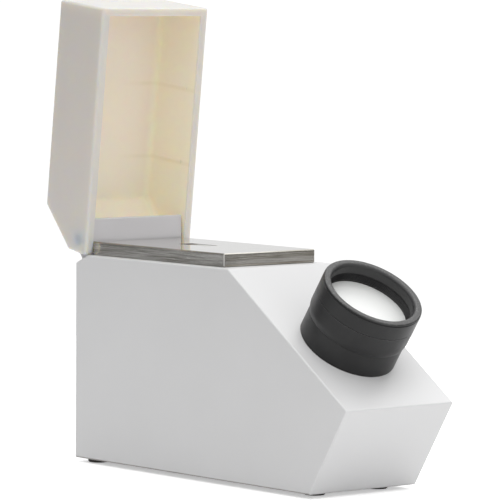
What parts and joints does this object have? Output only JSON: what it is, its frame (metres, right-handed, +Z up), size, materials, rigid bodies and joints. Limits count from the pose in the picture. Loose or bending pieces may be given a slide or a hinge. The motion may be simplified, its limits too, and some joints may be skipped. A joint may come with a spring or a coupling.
{
  "type": "gem refractometer",
  "caption": "Desk gem refractometer: wedge-ended housing, polished steel stage with a glass prism, hinged stage lid that opens upright, and a focusing eyepiece on the slope.",
  "frame": {"origin": "centre of the whole object's footprint at the desk, with the lid open, under the middle of its length and width", "axes": "+Z up; +X across the width, to the right of someone facing the rear wall from the eyepiece; +Y along the length, from the eyepiece towards the lid hinge and light port"},
  "size_m": [0.04, 0.1394, 0.1383],
  "materials": {
    "housing_plastic": "white, satin gloss moulded plastic",
    "lid_plastic": "white translucent moulded plastic, cream inside",
    "hinge_plastic": "pale grey moulded plastic",
    "stainless": "stainless steel, finely ground sides and polished top",
    "screw_steel": "plain steel",
    "black_aluminium": "black anodised, matte",
    "plain_aluminium": "as milled",
    "eyepiece_black": "black anodised, satin",
    "seal_black": "matte",
    "foot_rubber": "matte",
    "spring_bronze": "plain phosphor bronze",
    "prism_glass": "polished, faint straw tint of dense glass",
    "lens_glass": "polished",
    "filter_glass": "polished, pale",
    "opal_glass": "opal, satin",
    "amber_glass": "polished, amber",
    "mirror_glass": "front silvered"
  },
  "bodies": {
    "housing": {"base_plate": "black_aluminium", "base_screws": "screw_steel", "eyepiece_mount": "eyepiece_black", "eyepiece_nut": "black_aluminium", "foot_front_left": "foot_rubber", "foot_front_right": "foot_rubber", "foot_rear_left": "foot_rubber", "foot_rear_right": "foot_rubber", "guide_pin": "screw_steel", "hinge_block": "hinge_plastic", "hinge_block_screws": "screw_steel", "hinge_pin_left": "screw_steel", "hinge_pin_right": "screw_steel", "housing_shell": "housing_plastic", "light_bezel": "black_aluminium", "light_diffuser": "opal_glass", "light_filter": "amber_glass", "light_port_nut": "black_aluminium", "light_retainer": "black_aluminium", "mirror": "mirror_glass", "mirror_bracket": "plain_aluminium", "mirror_bracket_screws": "screw_steel", "objective_lens": "lens_glass", "objective_retainer": "black_aluminium", "objective_spacer": "black_aluminium", "optics_bracket": "plain_aluminium", "optics_bracket_screws": "screw_steel", "optics_tube": "black_aluminium", "prism": "prism_glass", "prism_clip": "spring_bronze", "prism_clip_screws": "screw_steel", "prism_seal": "seal_black", "reticle_retainer": "black_aluminium", "scale_reticle": "lens_glass", "stage_plate": "stainless", "stage_screws": "screw_steel"},
    "lid": {"lid_shell": "lid_plastic"},
    "lens_tube": {"lens_cell": "eyepiece_black", "eye_lens": "lens_glass", "field_lens": "lens_glass", "lens_spacer": "black_aluminium", "eye_lens_retainer": "black_aluminium"},
    "focus_ring": {"focus_ring": "eyepiece_black"},
    "polarizer": {"polarizer_cap": "eyepiece_black", "polarizer_glass": "filter_glass", "polarizer_retainer": "black_aluminium"}
  },
  "joints": [
    {"name": "lid_hinge", "type": "hinge", "parent": "housing", "child": "lid", "pos_m": [0, 0.0536, 0.0667], "axis": [1, 0, 0], "range_deg": [0, 83.6]},
    {"name": "focus_slide", "type": "slide", "parent": "housing", "child": "lens_tube", "axis": [0, -0.5684, 0.8228], "range_m": [0, 0.0023]},
    {"name": "focus_turn", "type": "hinge", "parent": "lens_tube", "child": "focus_ring", "pos_m": [0, -0.0525, 0.05006], "axis": [0, -0.5684, 0.8228], "range_deg": [0, 240]},
    {"name": "polarizer_turn", "type": "hinge", "parent": "focus_ring", "child": "polarizer", "pos_m": [0, -0.05534, 0.05418], "axis": [0, -0.5684, 0.8228], "continuous": true}
  ],
  "couplings": [
    {"joint": "focus_slide", "follows": "focus_turn", "m_per_rad": 0.00047746}
  ]
}
